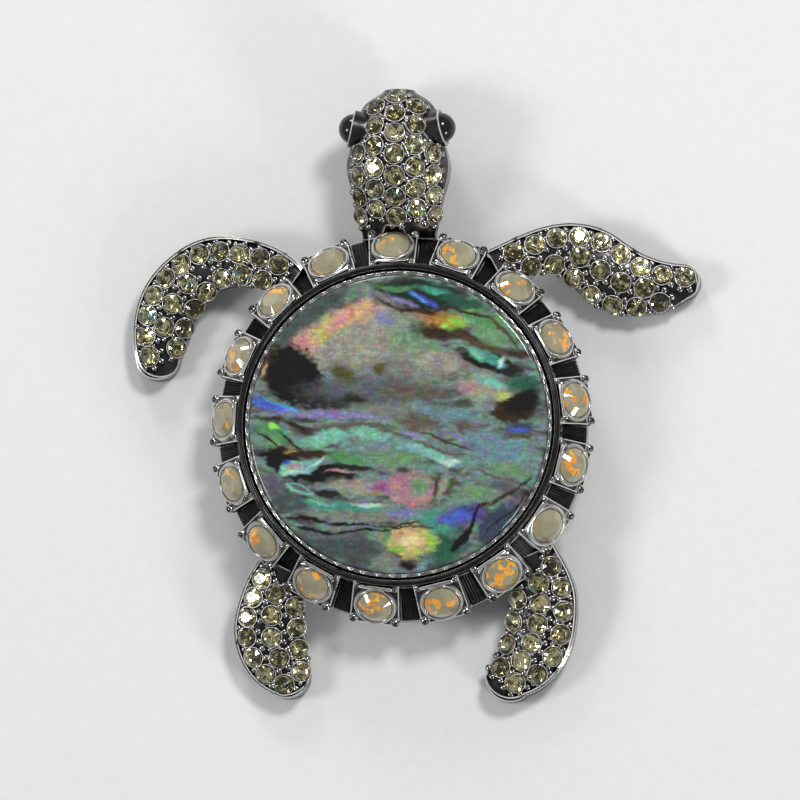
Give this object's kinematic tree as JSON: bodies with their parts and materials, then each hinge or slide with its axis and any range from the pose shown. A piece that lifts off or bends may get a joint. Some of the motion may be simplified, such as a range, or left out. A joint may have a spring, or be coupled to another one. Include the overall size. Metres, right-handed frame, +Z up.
{
  "type": "turtle brooch",
  "caption": "Turtle brooch in antiqued dark metal with a round abalone shell disc, a ring of milky cut stones in box settings, and pave-set head and flippers.",
  "frame": {"origin": "middle of the outline, on the surface that the flipper tips rest on", "axes": "+Z up through the shell's face, +Y towards the head, +X to the turtle's right as seen from above"},
  "size_m": [0.0476, 0.0512, 0.0079],
  "materials": {
    "dark_metal": "antiqued, worn bright on its edges",
    "abalone": "shell pieces under clear gloss resin",
    "milky_stone": "milky with amber glints",
    "smoke_stone": "foiled smoke grey",
    "black_stone": "glossy black"
  },
  "bodies": {
    "root": {"cast_frame": "dark_metal", "bar_pin": "dark_metal", "abalone_disc": "abalone", "eye_left": "black_stone", "eye_right": "black_stone", "pave_head": "smoke_stone", "pave_left_front": "smoke_stone", "pave_right_front": "smoke_stone", "pave_left_rear": "smoke_stone", "pave_right_rear": "smoke_stone", "opal_01": "milky_stone", "opal_02": "milky_stone", "opal_03": "milky_stone", "opal_04": "milky_stone", "opal_05": "milky_stone", "opal_06": "milky_stone", "opal_07": "milky_stone", "opal_08": "milky_stone", "opal_09": "milky_stone", "opal_10": "milky_stone", "opal_11": "milky_stone", "opal_12": "milky_stone", "opal_13": "milky_stone", "opal_14": "milky_stone", "opal_15": "milky_stone", "opal_16": "milky_stone", "opal_17": "milky_stone"}
  },
  "joints": []
}
